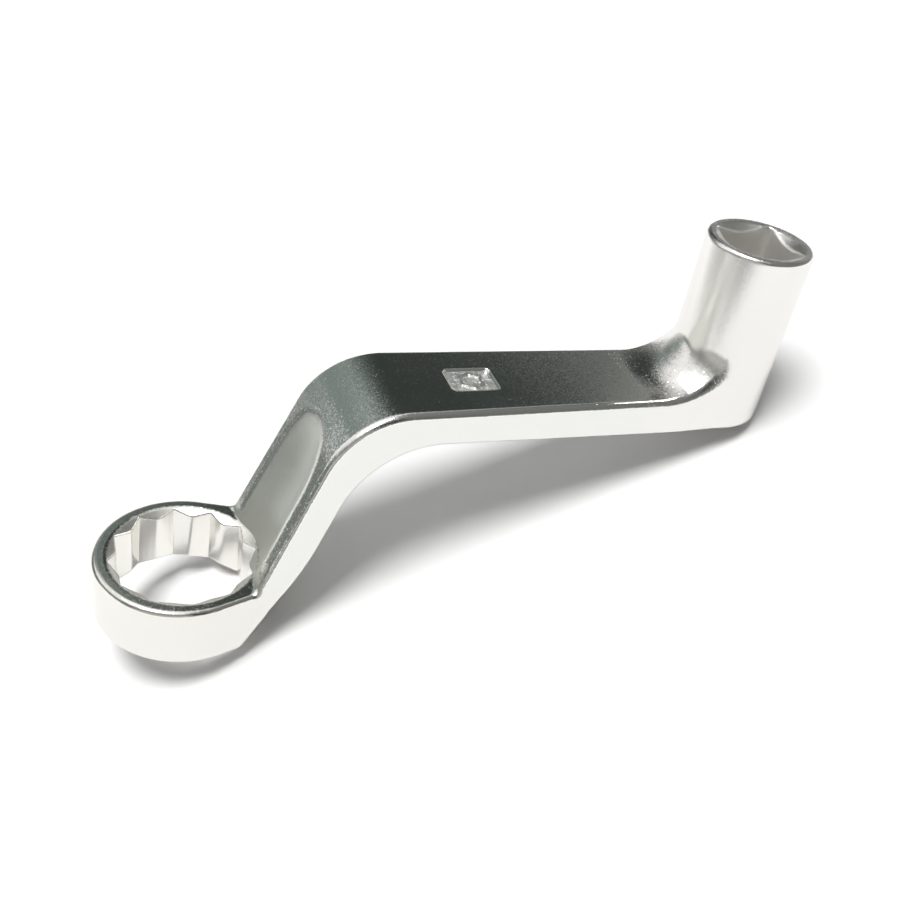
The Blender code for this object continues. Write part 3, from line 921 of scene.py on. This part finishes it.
def glowFrom(tree, colour):
    light = addNode(tree, "ShaderNodeEmission")
    tree.links.new(colour, light.inputs["Color"])
    tree.links.new(seenRays(tree), light.inputs["Strength"])
    tree.links.new(light.outputs[0], tree.nodes["Material Output"].inputs["Surface"])


def makeTent():
    turns = tent["turns"]
    rows = tent["rows"]
    radius = tent["radius"]
    points, quads = [], []
    for row in range(rows + 1):
        height = math.radians(tent["top"] * row / rows)
        reach = radius * math.cos(height)
        for turn in range(turns):
            angle = 2 * math.pi * turn / turns
            points.append((reach * math.sin(angle), reach * math.cos(angle), radius * math.sin(height)))
    for row in range(rows):
        for turn in range(turns):
            here = row * turns + turn
            after = row * turns + (turn + 1) % turns
            quads.append((here, after, after + turns, here + turns))
    tree = cardTree("studioCards", points, quads)
    place = addNode(tree, "ShaderNodeTexCoord").outputs["Object"]
    scaled = addNode(tree, "ShaderNodeVectorMath", operation="SCALE")
    scaled.inputs["Scale"].default_value = 1 / radius
    tree.links.new(place, scaled.inputs[0])
    flat = vectorNode(tree, "NORMALIZE", vectorNode(tree, "MULTIPLY", place, (1.0, 1.0, 0.0)))
    apart = addNode(tree, "ShaderNodeSeparateXYZ")
    tree.links.new(scaled.outputs[0], apart.inputs[0])
    height = apart.outputs["Z"]
    colour = bandsNode(tree, plainBands, height)
    for sector in sectors.values():
        share = towards(tree, flat, height, sector)
        colour = mixedColour(tree, share, colour, bandsNode(tree, sector["bands"], height))
    glowFrom(tree, colour)


def makeWorld():
    world = bpy.data.worlds.new("studioWorld")
    bpy.context.scene.world = world
    world.use_nodes = True
    tree = world.node_tree
    base = tree.nodes["Background"]
    base.inputs["Color"].default_value = (*studio["fill"], 1)
    # the fill comes more from the back left
    side = addNode(tree, "ShaderNodeVectorMath", operation="DOT_PRODUCT")
    side.inputs[1].default_value = studio["fillWay"]
    tree.links.new(addNode(tree, "ShaderNodeTexCoord").outputs["Generated"], side.inputs[0])
    lean = mathNode(tree, "MULTIPLY", side.outputs["Value"], studio["fillLean"])
    tree.links.new(mathNode(tree, "ADD", lean, 1.0), base.inputs["Strength"])
    white = addNode(tree, "ShaderNodeBackground")
    white.inputs["Color"].default_value = (1, 1, 1, 1)
    mix = addNode(tree, "ShaderNodeMixShader")
    tree.links.new(seenRays(tree), mix.inputs["Fac"])
    tree.links.new(base.outputs[0], mix.inputs[1])
    tree.links.new(white.outputs[0], mix.inputs[2])
    tree.links.new(mix.outputs[0], tree.nodes["World Output"].inputs["Surface"])


def makeKey():
    data = bpy.data.lights.new("overheadSoftbox", "AREA")
    data.shape = "DISK"
    data.size = studio["keySize"]
    data.energy = studio["keyPower"]
    lamp = bpy.data.objects.new("overheadSoftbox", data)
    lamp.location = (*studio["keyPlace"], studio["keyHeight"])
    lamp.rotation_euler = (-Vector(lamp.location)).to_track_quat("-Z", "Y").to_euler()
    bpy.context.scene.collection.objects.link(lamp)


makeFloor()
makeTent()
makeWorld()
makeKey()
bpy.context.scene.view_settings.view_transform = "Standard"
print("studio set")
